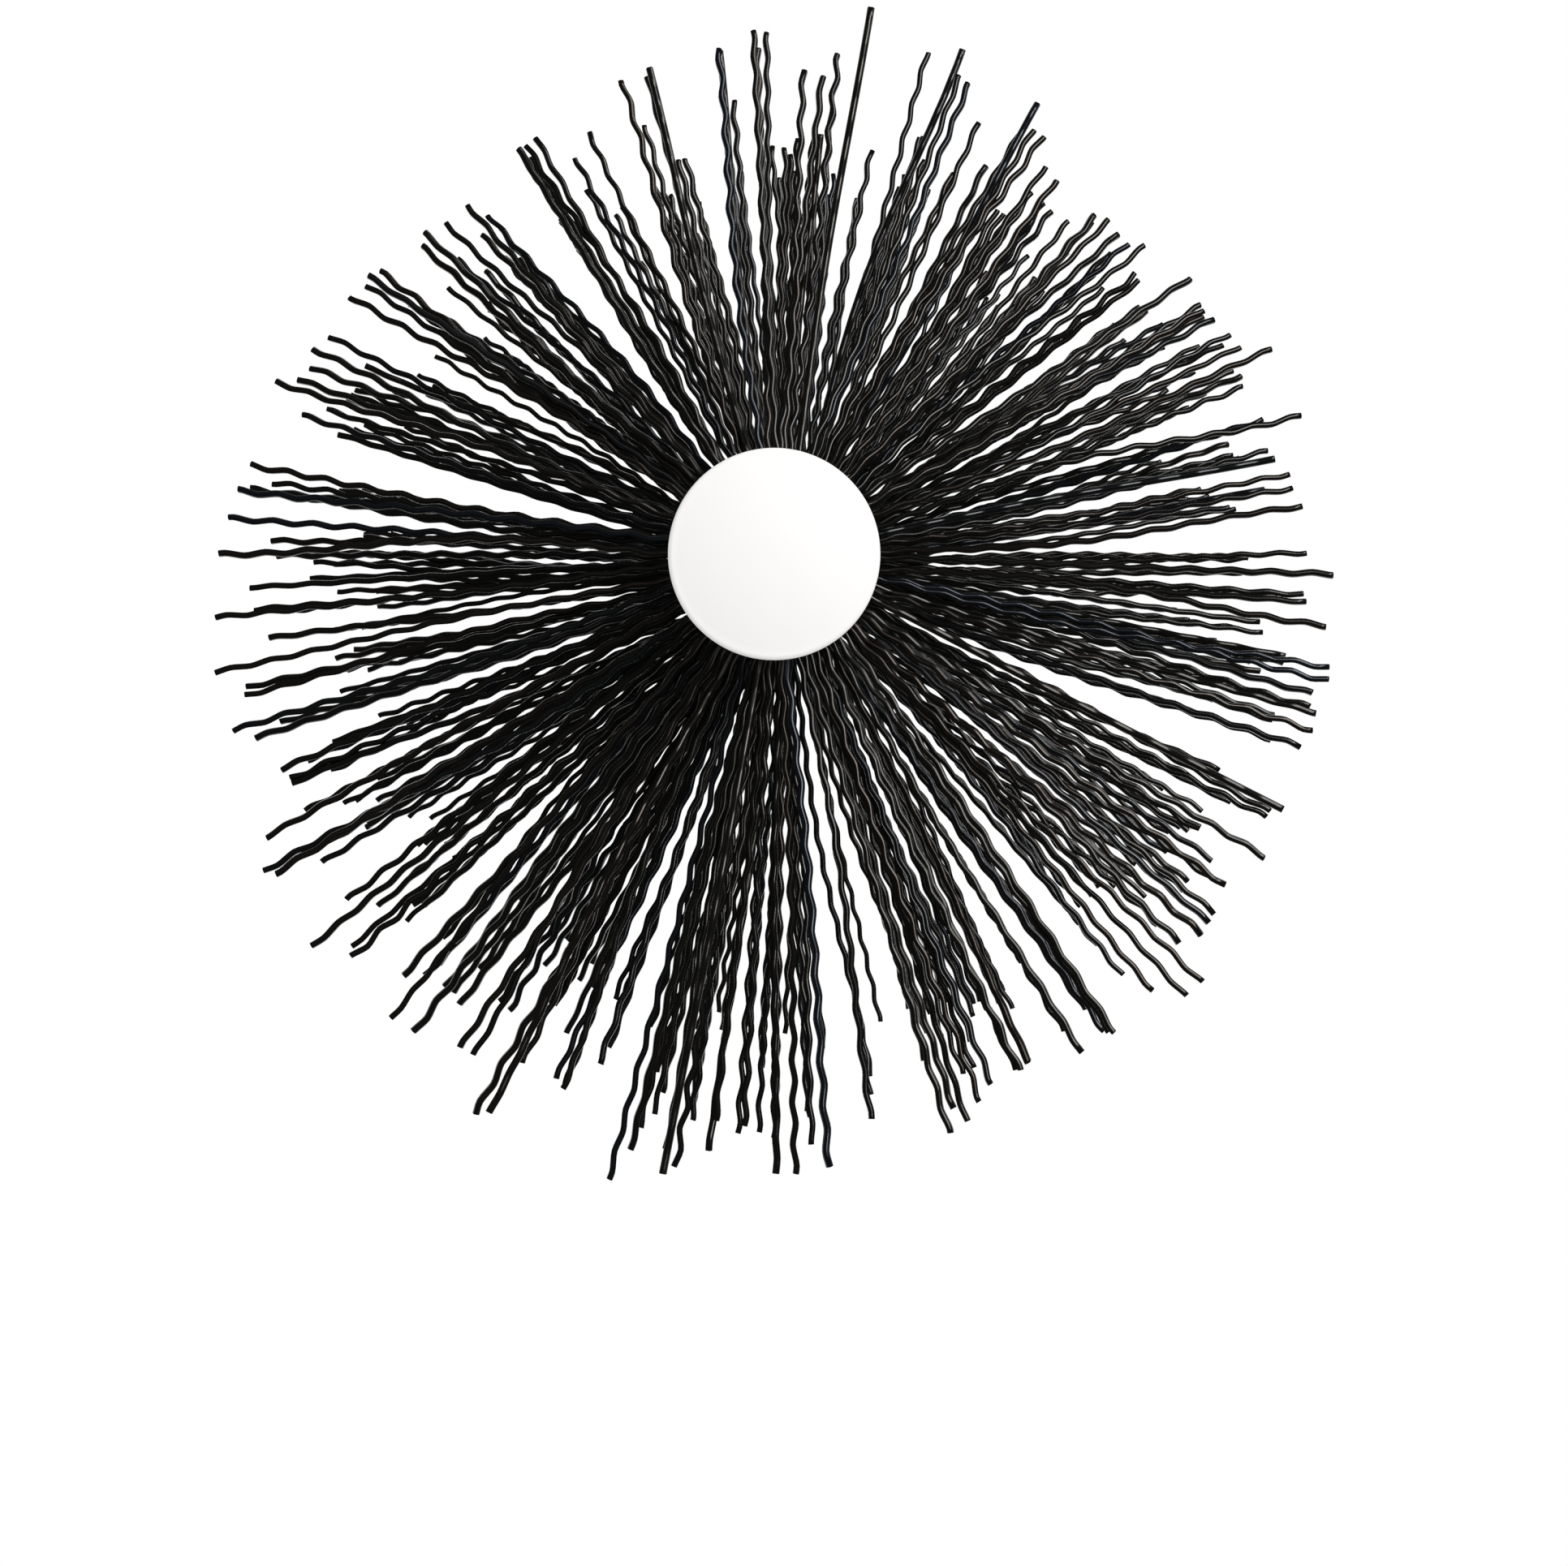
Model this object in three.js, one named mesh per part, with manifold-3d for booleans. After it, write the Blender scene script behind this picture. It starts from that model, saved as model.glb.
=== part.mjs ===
// Chimney sweep brush head: crimped black nylon filaments held in a twisted four-wire steel stem,
// with a white plastic cap on the nose and a threaded steel ferrule on the tail.
// Units are millimetres. The brush axis is Y. The origin is the middle of the thread, in the plane
// of the hexagon's shoulder, where the rod's socket stops. The nose points along -Y, so a view along
// +Y looks straight at the cap. Z is up, and X is to the right there.

import * as THREE from "three";
import { mergeVertices } from "three/addons/utils/BufferGeometryUtils.js";
import Module from "manifold-3d";

const wasm = await Module();
wasm.setup();

// Clearances
const seatGap = 0.3; // between pieces that seat on each other
const cutOverrun = 1; // how far a cutting solid runs past what it cuts, and joined solids into each other

// Brush size
const brushDiameter = 120; // over the trimmed filament tips
const bristleLength = 80; // stretch of the stem that carries filaments
const tailStemLength = 14; // bare stem between the ferrule and the filaments
const noseStemLength = 1; // bare stem between the filaments and the cap

// Filaments
const sectionCount = 4;
const filamentsPerSection = 60; // each one crosses the stem and has a tip on both sides
const filamentWidth = 0.8;
const filamentThickness = 0.5; // also of the filament layer that the wires grip
const trimShiftX = 0.1; // the trimmed cylinder lies a little off the stem
const trimShiftZ = -3.3;
const shortestTrim = 5.2; // how far under the full radius a tip may end
const lowTipsForward = 8; // how far the lowest tips stand towards the nose, and the highest away from it
const clumpScatter = 3.4; // random shift of a clump of tips along the stem
const tipScatter = 0.3; // random shift of each tip in it

// Stem wires
const wireDiameter = 2.2;
const twistLength = 20; // of stem for one full turn

// Nose cap
const capDiameter = 20.9;
const capLength = 12.5; // over its crown
const capCrown = 1.3; // rise of the front face in its middle
const capEdgeRadius = 1; // round between the front face and the side
const capRearBevel = 0.8;
const capFrontWall = 3; // plastic in front of the stem's end

// Threaded ferrule
const threadDiameter = 11.8; // M12, measured over the crests
const threadPitch = 1.75;
const threadDepth = 1.05;
const threadLength = 20; // of the whole stud
const reliefLength = 3; // plain neck between the thread and the shoulder
const reliefDiameter = 9.2;
const hexAcrossFlats = 17;
const hexLength = 8;
const hexBevel = 1.2;
const sleeveDiameter = 13;
const sleeveLength = 24;
const sleeveBoreDepth = 22;
const sleeveBevel = 0.8;
const crimpDepth = 0.55;
const crimpWidth = 3.2;
const crimpOffset = 5; // from the sleeve's mouth to the middle of the first crimp
const crimpSpacing = 7;

// Stray tips at the nose end: direction, anticlockwise from +X in degrees as seen from the nose,
// and the share of strayReach that the tip stands past the full radius.
const strayReach = 4.6;
const strayZoneLength = 10; // stretch of stem at the nose end that the stray tips come from
const strayTipShares = [
  [80, 1], [95, 0.5], [222, 0.5], [232, 0.4], [240, 0.8], [255, 0.9], [334, 0.3],
];

// Directions without filaments, each with the width of the gap that it leaves at the tips, in degrees.
const gapsInDegrees = [
  [5, 2], [18, 3.5], [44, 2], [63, 3], [75.5, 4.5], [80, 2.5], [96, 3.5], [111, 5.5],
  [119, 2], [126, 6], [139, 2.5], [151, 2], [165, 5.5], [173.5, 2], [203.5, 3.5], [208, 2.5],
  [217, 1.5], [227, 4.5], [247.5, 3], [267, 3.5], [278, 3.5], [284, 3], [291, 2.5], [301.5, 5],
  [306, 3], [309.5, 3], [333, 3.5], [338, 5.5], [355, 2],
];
const gapReachDegrees = 8; // over which filaments beside a gap are pushed aside
const clumpCounts = [2, 3, 4, 5, 6]; // neighbouring filaments that lie together
const clumpPullShares = [0.5, 0.85]; // how much of their spacing a clump keeps, least and most
const angleScatterDegrees = 0.2;
const besideShare = 0.4; // of the filament spacing that stays free between two filaments at the stem
const seed = 2024;

// Roundness of the meshes
const capSegments = 32;
const turnedSegments = 24;
const threadSegments = 14;
const wireSides = 6;
const wireStepsPerTurn = 12;
const arcSteps = 5;

// Distances along the stem, measured from the hexagon's shoulder towards the nose
const shoulderAt = 0;
const hexEndAt = shoulderAt + hexLength;
const sleeveEndAt = hexEndAt + sleeveLength;
const sleeveBoreAt = sleeveEndAt - sleeveBoreDepth;
const bristleTailAt = sleeveEndAt + tailStemLength;
const bristleNoseAt = bristleTailAt + bristleLength;
const capRearAt = bristleNoseAt + noseStemLength;
const capNoseAt = capRearAt + capLength;
const capBoreAt = capNoseAt - capFrontWall;

// Stem section: two wires on each side of the flat filament layer
const wireRadius = wireDiameter / 2;
const layAngle = Math.atan((2 * Math.PI * Math.SQRT2 * wireRadius) / twistLength);
const wireAcross = (wireRadius + seatGap / 2) / Math.cos(layAngle);
const wireOut = filamentThickness / 2 + (wireRadius + seatGap) / Math.cos(layAngle);
const wireHelixRadius = Math.hypot(wireAcross, wireOut);
const wireEndSlant = wireRadius * Math.sin(layAngle); // the cut end of a wire is square to its own path
const stemRadius = wireHelixRadius + wireRadius;
const layerHalfWidth = stemRadius + seatGap;
const stemBoreRadius = stemRadius + seatGap;

// Round corners of the nose cap
const capRadius = capDiameter / 2;
const capFaceRadius = capRadius - capEdgeRadius; // where the crown meets the rounded edge

const steel = new THREE.MeshStandardMaterial({ color: 0x9a9c9e, roughness: 0.4, metalness: 1 });
const zinc = new THREE.MeshStandardMaterial({ color: 0xb4b3ab, roughness: 0.35, metalness: 1 });
const whitePlastic = new THREE.MeshStandardMaterial({ color: 0xf6f4ef, roughness: 0.4 });
const blackNylon = new THREE.MeshStandardMaterial({ color: 0x141414, roughness: 0.35 });

// Repeatable random numbers from 0 to 1.
function randomFrom(start) {
  let state = start;
  return () => {
    state = (state * 1664525 + 1013904223) % 4294967296;
    return state / 4294967296;
  };
}

// Direction of the filament layer at a distance along the stem, in radians.
function twistAt(distance) {
  return (2 * Math.PI * distance) / twistLength;
}

// A point at a distance along the stem, out from it and beside that direction.
function stemPoint(distance, angle, out, beside) {
  const x = out * Math.cos(angle) - beside * Math.sin(angle);
  const z = out * Math.sin(angle) + beside * Math.cos(angle);
  return new THREE.Vector3(x, -distance, z);
}

// Collects points and outward quads into one closed geometry.
class Shell {
  constructor() {
    this.points = [];
    this.faces = [];
  }

  add(point) {
    this.points.push(point.x, point.y, point.z);
    return this.points.length / 3 - 1;
  }

  triangle(a, b, c) {
    this.faces.push(a, b, c);
  }

  quad(a, b, c, d) {
    this.triangle(a, b, c);
    this.triangle(a, c, d);
  }

  geometry() {
    const made = new THREE.BufferGeometry();
    made.setAttribute("position", new THREE.Float32BufferAttribute(this.points, 3));
    made.setIndex(this.faces);
    return made;
  }
}

function solidFrom(geometry) {
  const bare = geometry.clone();
  bare.deleteAttribute("normal");
  bare.deleteAttribute("uv");
  const merged = mergeVertices(bare);
  return new wasm.Manifold(
    new wasm.Mesh({
      numProp: 3,
      vertProperties: new Float32Array(merged.attributes.position.array),
      triVerts: new Uint32Array(merged.index.array),
    }),
  );
}

function geometryFrom(solid) {
  const mesh = solid.getMesh();
  const made = new THREE.BufferGeometry();
  made.setAttribute("position", new THREE.BufferAttribute(mesh.vertProperties, 3));
  made.setIndex(new THREE.BufferAttribute(mesh.triVerts, 1));
  made.computeVertexNormals();
  return made;
}

// A turned solid from [radius, distance along the stem] points, listed from the nose end backwards.
function turned(profile, segments) {
  const outline = profile.map(([radius, distance]) => new THREE.Vector2(radius, -distance));
  return new THREE.LatheGeometry(outline, segments);
}

// A plain bar along the stem between two distances.
function bar(radius, fromDistance, toDistance, segments) {
  const geometry = new THREE.CylinderGeometry(radius, radius, toDistance - fromDistance, segments);
  geometry.translate(0, -(fromDistance + toDistance) / 2, 0);
  return geometry;
}

// Pushes a direction, in degrees, out of the gaps and keeps the order of the filaments.
function outOfGaps(direction) {
  let pushed = direction;
  for (const [middle, width] of gapsInDegrees) {
    const turns = Math.round((direction - middle) / 360);
    const away = direction - middle - 360 * turns;
    pushed += Math.sign(away) * (width / 2) * Math.exp(-Math.abs(away) / gapReachDegrees);
  }
  return pushed;
}

// Where each filament crosses the stem.
function layFilaments() {
  const sectionPitch = bristleLength / sectionCount;
  const pitch = (sectionPitch - seatGap) / filamentsPerSection;
  const filaments = [];
  for (let section = 0; section < sectionCount; section++) {
    for (let i = 0; i < filamentsPerSection; i++) {
      const start = bristleTailAt + section * sectionPitch + i * pitch;
      filaments.push({ section, start, end: start + pitch * (1 - besideShare) });
    }
  }
  return filaments;
}

// Ends a clump of neighbouring filaments on one side of the stem, given as 0 or 180 degrees.
function endClump(clump, side, random) {
  const roots = clump.map(({ start }) => THREE.MathUtils.radToDeg(twistAt(start)) + side);
  const middle = (roots[0] + roots[roots.length - 1]) / 2;
  const [least, most] = clumpPullShares;
  const pull = least + (most - least) * random();
  const shift = clumpScatter * (2 * random() - 1);
  clump.forEach((filament, i) => {
    const straight = middle + (roots[i] - middle) * pull;
    const direction = outOfGaps(straight) + angleScatterDegrees * (2 * random() - 1);
    const angle = THREE.MathUtils.degToRad(direction);
    const trim = shortestTrim * random() ** 2;
    const forward = shift + tipScatter * (2 * random() - 1) - lowTipsForward * Math.sin(angle);
    filament[side] = { angle, radius: brushDiameter / 2 - trim, distance: filament.start + forward };
  });
}

// Lengthens the tip at the nose end that lies nearest to each stray direction.
function lengthenStrays(filaments) {
  const front = filaments.filter(({ start }) => bristleNoseAt - start < strayZoneLength);
  const tips = front.flatMap((filament) => [filament[0], filament[180]]);
  for (const [direction, share] of strayTipShares) {
    const towards = THREE.MathUtils.degToRad(direction);
    const nearness = (tip) => Math.cos(tip.angle - towards);
    const stray = tips.reduce((best, tip) => (nearness(tip) > nearness(best) ? tip : best));
    stray.radius = brushDiameter / 2 + strayReach * share;
  }
}

// Where each filament crosses the stem, and where its two tips end.
function layOutFilaments() {
  const random = randomFrom(seed);
  const filaments = layFilaments();
  for (const side of [0, 180]) {
    let from = 0;
    while (from < filaments.length) {
      const size = clumpCounts[Math.floor(random() * clumpCounts.length)];
      endClump(filaments.slice(from, from + size), side, random);
      from += size;
    }
  }
  lengthenStrays(filaments);
  return filaments;
}

// Four corners of the filament layer at a distance along the stem: right top, right bottom,
// left bottom, left top, with the layer's own direction as right.
function layerCorners(shell, distance) {
  const corner = (across, thick) =>
    shell.add(
      stemPoint(distance, twistAt(distance), across * layerHalfWidth, (thick * filamentThickness) / 2),
    );
  return { rt: corner(1, 1), rb: corner(1, -1), lb: corner(-1, -1), lt: corner(-1, 1) };
}

// One half of a filament: it grows from four corners of the layer's edge and ends in a flat tip.
function strand(shell, base, signs, tip) {
  const centre = new THREE.Vector3(trimShiftX, 0, trimShiftZ);
  const ends = signs.map(([thick, along]) => {
    const distance = tip.distance + (along * filamentWidth) / 2;
    const point = stemPoint(distance, tip.angle, tip.radius, (thick * filamentThickness) / 2);
    return shell.add(point.add(centre));
  });
  base.forEach((corner, i) => {
    const next = (i + 1) % base.length;
    shell.quad(corner, base[next], ends[next], ends[i]);
  });
  shell.quad(...ends);
}

// A slice of the gripped filament layer with all its strands, as one closed body.
function bristleSection(filaments) {
  const shell = new Shell();
  const rightSigns = [[-1, -1], [1, -1], [1, 1], [-1, 1]];
  const leftSigns = [[1, -1], [1, 1], [-1, 1], [-1, -1]];
  let before = null;
  let first = null;
  for (const filament of filaments) {
    const a = layerCorners(shell, filament.start);
    const b = layerCorners(shell, filament.end);
    if (before) {
      layerFaces(shell, before, a);
      shell.quad(before.rb, before.rt, a.rt, a.rb);
      shell.quad(before.lb, a.lb, a.lt, before.lt);
    }
    layerFaces(shell, a, b);
    strand(shell, [a.rb, a.rt, b.rt, b.rb], rightSigns, filament[0]);
    strand(shell, [a.lb, b.lb, b.lt, a.lt], leftSigns, filament[180]);
    first = first ?? a;
    before = b;
  }
  shell.quad(first.lb, first.lt, first.rt, first.rb);
  shell.quad(before.lb, before.rb, before.rt, before.lt);
  return shell.geometry();
}

// The flat faces of the layer between two stations.
function layerFaces(shell, a, b) {
  shell.quad(a.lt, b.lt, b.rt, a.rt);
  shell.quad(a.rb, b.rb, b.lb, a.lb);
}

// Path of a wire round the stem.
class WirePath extends THREE.Curve {
  constructor(phase, fromDistance, toDistance) {
    super();
    this.phase = phase;
    this.fromDistance = fromDistance;
    this.toDistance = toDistance;
    this.arcLengthDivisions = 800;
  }

  getPoint(share, target = new THREE.Vector3()) {
    const distance = THREE.MathUtils.lerp(this.fromDistance, this.toDistance, share);
    const angle = twistAt(distance) + this.phase;
    return target.copy(stemPoint(distance, angle, wireHelixRadius, 0));
  }
}

function stemWire(phase) {
  const fromDistance = sleeveBoreAt + seatGap + wireEndSlant;
  const toDistance = capBoreAt - seatGap - wireEndSlant;
  const turns = (toDistance - fromDistance) / twistLength;
  const section = new THREE.Shape();
  for (let i = 0; i < wireSides; i++) {
    const angle = (2 * Math.PI * i) / wireSides;
    const corner = [wireRadius * Math.cos(angle), wireRadius * Math.sin(angle)];
    if (i === 0) section.moveTo(...corner);
    else section.lineTo(...corner);
  }
  return new THREE.ExtrudeGeometry(section, {
    steps: Math.ceil(turns * wireStepsPerTurn),
    extrudePath: new WirePath(phase, fromDistance, toDistance),
  });
}

// Points on the crowned front face and the rounded edge of the cap, from the axis outwards.
function capFront() {
  const crownSphere = (capFaceRadius ** 2 + capCrown ** 2) / (2 * capCrown);
  const faceAngle = Math.asin(capFaceRadius / crownSphere);
  const points = [];
  for (let i = 0; i <= arcSteps; i++) {
    const angle = (faceAngle * i) / arcSteps;
    const drop = crownSphere * (1 - Math.cos(angle));
    points.push([i === 0 ? 0 : crownSphere * Math.sin(angle), capNoseAt - drop]);
  }
  const edgeCentreAt = capNoseAt - capCrown - capEdgeRadius;
  for (let i = 1; i <= arcSteps; i++) {
    const angle = (Math.PI / 2) * (1 - i / arcSteps);
    const out = capEdgeRadius * Math.cos(angle);
    points.push([capFaceRadius + out, edgeCentreAt + capEdgeRadius * Math.sin(angle)]);
  }
  return points;
}

// White cap with a blind bore for the end of the stem, open towards the tail.
function noseCap() {
  const profile = [
    ...capFront(),
    [capRadius, capRearAt + capRearBevel],
    [capRadius - capRearBevel, capRearAt],
    [stemBoreRadius, capRearAt],
    [stemBoreRadius, capBoreAt],
    [0, capBoreAt],
  ];
  return turned(profile, capSegments);
}

// Closed male thread from one distance to another: crest and root lines climb one pitch in each
// turn, between two flat ends.
function threadBar(fromDistance, toDistance) {
  const shell = new Shell();
  const crest = threadDiameter / 2;
  const root = crest - threadDepth;
  const rowsPerTurn = 2;
  const rowPitch = threadPitch / rowsPerTurn;
  const rows = Math.floor((toDistance - fromDistance) / rowPitch) - rowsPerTurn - 1;
  const angleOf = (i) => (2 * Math.PI * i) / threadSegments;
  const rootRing = (distance) =>
    Array.from({ length: threadSegments }, (_, i) => shell.add(stemPoint(distance, angleOf(i), root, 0)));
  const tail = rootRing(fromDistance);
  const nose = rootRing(toDistance);
  const helix = Array.from({ length: threadSegments }, (_, i) =>
    Array.from({ length: rows }, (_, row) => {
      const climbed = (row + 1 / rowsPerTurn) * rowPitch + (i / threadSegments) * threadPitch;
      const radius = row % rowsPerTurn ? crest : root;
      return shell.add(stemPoint(fromDistance + climbed, angleOf(i), radius, 0));
    }),
  );
  const tailCentre = shell.add(stemPoint(fromDistance, 0, 0, 0));
  const noseCentre = shell.add(stemPoint(toDistance, 0, 0, 0));
  for (let i = 0; i < threadSegments; i++) {
    const next = (i + 1) % threadSegments;
    const climb = next === 0 ? rowsPerTurn : 0; // the seam joins each row to the one a turn further on
    const left = helix[i];
    const right = helix[next];
    shell.triangle(tailCentre, tail[next], tail[i]);
    shell.triangle(noseCentre, nose[i], nose[next]);
    for (let row = 0; row < climb; row++) shell.triangle(tail[i], right[row], right[row + 1]);
    if (climb) {
      shell.triangle(tail[i], tail[next], right[0]);
      shell.triangle(tail[i], right[climb], left[0]);
    } else shell.quad(tail[i], tail[next], right[0], left[0]);
    for (let row = 0; row + climb + 1 < rows; row++) {
      shell.quad(left[row], right[row + climb], right[row + 1 + climb], left[row + 1]);
    }
    for (let row = rows - 1 - climb; row < rows - 1; row++) {
      shell.triangle(nose[next], left[row + 1], left[row]);
    }
    if (climb) {
      shell.triangle(nose[next], left[rows - 1 - climb], right[rows - 1]);
      shell.triangle(nose[next], nose[i], left[rows - 1]);
    } else shell.quad(left[rows - 1], right[rows - 1], nose[next], nose[i]);
  }
  return shell.geometry();
}

// Hexagon with its corners turned off at both ends.
function hexagon() {
  const cornerRadius = hexAcrossFlats / Math.sqrt(3);
  const prism = solidFrom(bar(cornerRadius, shoulderAt, hexEndAt, 6));
  const blank = turned(
    [
      [0, hexEndAt],
      [cornerRadius - hexBevel, hexEndAt],
      [cornerRadius, hexEndAt - hexBevel / 2],
      [cornerRadius, shoulderAt + hexBevel / 2],
      [cornerRadius - hexBevel, shoulderAt],
      [0, shoulderAt],
    ],
    turnedSegments,
  );
  return prism.intersect(solidFrom(blank));
}

// Outside of the sleeve with two rolled crimps, from the hexagon to the mouth.
function sleeveBlank() {
  const radius = sleeveDiameter / 2;
  const profile = [
    [0, sleeveEndAt],
    [radius - sleeveBevel, sleeveEndAt],
    [radius, sleeveEndAt - sleeveBevel],
  ];
  for (const step of [0, 1]) {
    const middle = sleeveEndAt - crimpOffset - step * crimpSpacing;
    profile.push(
      [radius, middle + crimpWidth / 2],
      [radius - crimpDepth, middle + crimpWidth / 4],
      [radius - crimpDepth, middle - crimpWidth / 4],
      [radius, middle - crimpWidth / 2],
    );
  }
  profile.push([radius, hexEndAt - cutOverrun], [0, hexEndAt - cutOverrun]);
  return solidFrom(turned(profile, turnedSegments));
}

function ferrule() {
  const bore = solidFrom(bar(stemBoreRadius, sleeveBoreAt, sleeveEndAt + cutOverrun, turnedSegments));
  const thread = solidFrom(threadBar(shoulderAt - threadLength, shoulderAt - reliefLength));
  const neckTailAt = shoulderAt - reliefLength - cutOverrun;
  const neck = solidFrom(bar(reliefDiameter / 2, neckTailAt, shoulderAt + cutOverrun, threadSegments));
  const body = thread.add(neck).add(hexagon()).add(sleeveBlank());
  return geometryFrom(body.subtract(bore));
}

const brush = new THREE.Group();

function place(name, geometry, material) {
  if (!geometry.attributes.normal) geometry.computeVertexNormals();
  const mesh = new THREE.Mesh(geometry, material);
  mesh.name = name;
  brush.add(mesh);
}

place("nose_cap", noseCap(), whitePlastic);
const wirePhase = Math.atan2(wireOut, wireAcross);
[wirePhase, Math.PI - wirePhase, Math.PI + wirePhase, -wirePhase].forEach((phase, i) => {
  place(`stem_wire_${i + 1}`, stemWire(phase), steel);
});
const filaments = layOutFilaments();
for (let section = 0; section < sectionCount; section++) {
  const own = filaments.filter((filament) => filament.section === section);
  place(`bristle_section_${section + 1}`, bristleSection(own), blackNylon);
}
place("threaded_ferrule", ferrule(), zinc);

export default brush;
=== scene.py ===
"""Chimney sweep brush head: crimped black nylon in a twisted stem of four wires, with a white cap
on the nose and a threaded ferrule on the tail.

The brush axis is Y. The origin is the middle of the thread, in the plane of the hexagon's shoulder.
The nose points along -Y, Z is up, and everything is in metres. A distance along the stem is counted
from the shoulder towards the nose, so it is -Y.
"""

from math import (
    asin, atan, atan2, ceil, cos, degrees, exp, floor, hypot, pi, radians, sin, sqrt, tan,
)
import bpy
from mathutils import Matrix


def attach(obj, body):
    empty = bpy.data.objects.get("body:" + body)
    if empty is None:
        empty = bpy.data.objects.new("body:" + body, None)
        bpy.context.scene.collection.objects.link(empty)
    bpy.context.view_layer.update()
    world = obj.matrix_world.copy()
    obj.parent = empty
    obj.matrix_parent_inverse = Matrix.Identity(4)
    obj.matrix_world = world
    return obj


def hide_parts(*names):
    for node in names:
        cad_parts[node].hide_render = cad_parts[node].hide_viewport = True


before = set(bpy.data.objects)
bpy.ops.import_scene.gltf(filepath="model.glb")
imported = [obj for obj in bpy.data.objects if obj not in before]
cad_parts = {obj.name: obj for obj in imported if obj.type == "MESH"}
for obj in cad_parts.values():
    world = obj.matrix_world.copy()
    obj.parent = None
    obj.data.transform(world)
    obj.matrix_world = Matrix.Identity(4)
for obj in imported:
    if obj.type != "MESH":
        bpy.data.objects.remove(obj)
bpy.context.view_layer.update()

from types import SimpleNamespace

import bmesh
import bpy
import numpy as np

bl_info = {
    "name": "Chimney Sweep Brush",
    "version": (1, 0, 0),
    "blender": (4, 5, 0),
    "location": "3D View > Sidebar > Sweep Brush",
    "description": "Builds a chimney sweep brush head in front of a white background",
    "category": "Add Mesh",
}

MM = 0.001
BODY = "root"

# Clearance between pieces that seat on each other
SEAT_GAP = 0.3 * MM

# Where the filaments are gripped
SECTION_COUNT = 4
FILAMENTS_PER_SECTION = 60
BRISTLE_LENGTH = 80 * MM
TAIL_STEM_LENGTH = 14 * MM
NOSE_STEM_LENGTH = 1 * MM
BESIDE_SHARE = 0.4

# How their tips were trimmed and how they lie
TRIM_SHIFT = np.array([0.1, 0, -3.3]) * MM
SHORTEST_TRIM = 5.2 * MM
LOW_TIPS_FORWARD = 8 * MM
CLUMP_SCATTER = 3.4 * MM
TIP_SCATTER = 0.3 * MM
GAP_REACH = 5  # degrees
CLUMP_SIZES = (2, 3, 4, 5, 6)
CLUMP_PULL_SHARES = (0.75, 1)
SECTION_PULL_SHARES = (0.5, 0.65, 0.85, 1)  # from the tail to the nose
ANGLE_SCATTER = 0.8  # degrees
LAYOUT_SEED = 2024

# Filaments between those of the solid, which has fewer than a real brush
EXTRA_PER_SECTION = (0, 2, 12, 26)  # from the tail to the nose
EXTRA_TURN = 1.5  # degrees from the filament beside it, which is half their spacing
EXTRA_ANGLE_SCATTER = 0.4  # degrees
EXTRA_TIP_SCATTER = 1.5 * MM

# Directions without filaments, each with the width of the gap that it leaves at the tips, in
# degrees. These are as the photograph shows them round the middle of the cap.
GAP_DIRECTIONS = (
    (2.3, 3), (17.8, 3), (61, 1.5), (67, 1.5), (75, 4), (78.3, 2.5), (94.3, 2.5), (98.5, 3),
    (106, 1), (111, 4.5), (119, 1.5), (126.5, 6), (132.7, 2), (141.5, 1.5), (151, 1.5),
    (167.5, 5.5), (174, 2), (181, 1), (208, 2), (217, 2), (227, 3), (253.5, 2), (265.5, 2.5),
    (278, 3), (284.3, 1.5), (300, 3.5), (303.7, 1.2), (307, 3.5), (311, 1.5), (331, 2),
    (336.5, 5), (350, 1),
)

# Directions in which the tips are cut shorter: the middle and the width of each, in degrees
SHORT_TRIM = 3 * MM
SHORT_ZONES = ((47, 22), (63, 7), (86, 8), (100, 7), (137, 19), (243.5, 19))

# Tips that stand out at the nose end: direction in degrees, and the share of the reach past the
# full radius, which is below 0 for a tip that ends before it. A ribbon has its flat side in front.
STRAY_REACH = 4.6 * MM
STRAY_ZONE_LENGTH = 13 * MM
RIBBON_FORWARD = 4 * MM
RIBBON_TIP_SHARES = (
    (59.3, 0.6), (69, 1.1), (79.5, 0.85), (96, 0.45), (104.3, -0.1), (260, 0), (333.3, -0.4),
)
STRAY_TIP_SHARES = (
    (57.3, -0.55), (67.6, 0), (73, 1.1), (90.7, 1.1), (92, 0.4), (108.2, 0), (212, 0.3),
    (220.5, 0.25), (230.5, 0), (242, 0.35), (255.3, 0.7),
)

# Path of a filament
GRIP_WIDTH = 0.62 * MM  # of the flat section between the wires
GRIP_THICKNESS = 0.5 * MM
GRIP_LAYER = 0.26 * MM  # neighbours lie on either side of the middle of the layer
GRIP_REACH = 3.9 * MM  # out from the axis to where a filament is free
CRIMP_FADE = 2.5 * MM  # from there to the full height of the crimp
ROLL_REACH = 10 * MM  # from there to where the flat section has turned fully
TURN_SHARPNESS = 6  # how soon a filament turns from its way out of the stem to its tip
BOW = 0.7 * MM
CRIMP_SHARPNESS = 0.82
BEND_OFFSETS = (-0.11, 0, 0.11)  # rings at each bend of the crimp, in pitches
CRIMP_PITCH_SCATTER = 0.01
HANK_PITCH_SCATTER = 0.002
CRIMP_HEIGHT_SCATTER = 0.2
HANK_SIZE = 15  # filaments that were crimped together
PHASE_SCATTER = 0.05  # in pitches
LOOSE_PHASE_SHARE = 0.06
ROLL_SCATTER = 13  # degrees
LOOSE_ROLL_SHARE = 0.1
SLOPE_STEP = 0.05 * MM  # either way, to find a direction
FORM_SEED = 77
EXTRA_SEED = 31

# Thread: half of the flat on a crest, in pitches, and the slope of the flanks
CREST_HALF = 1 / 16
FLANK_ANGLE = radians(30)

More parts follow.
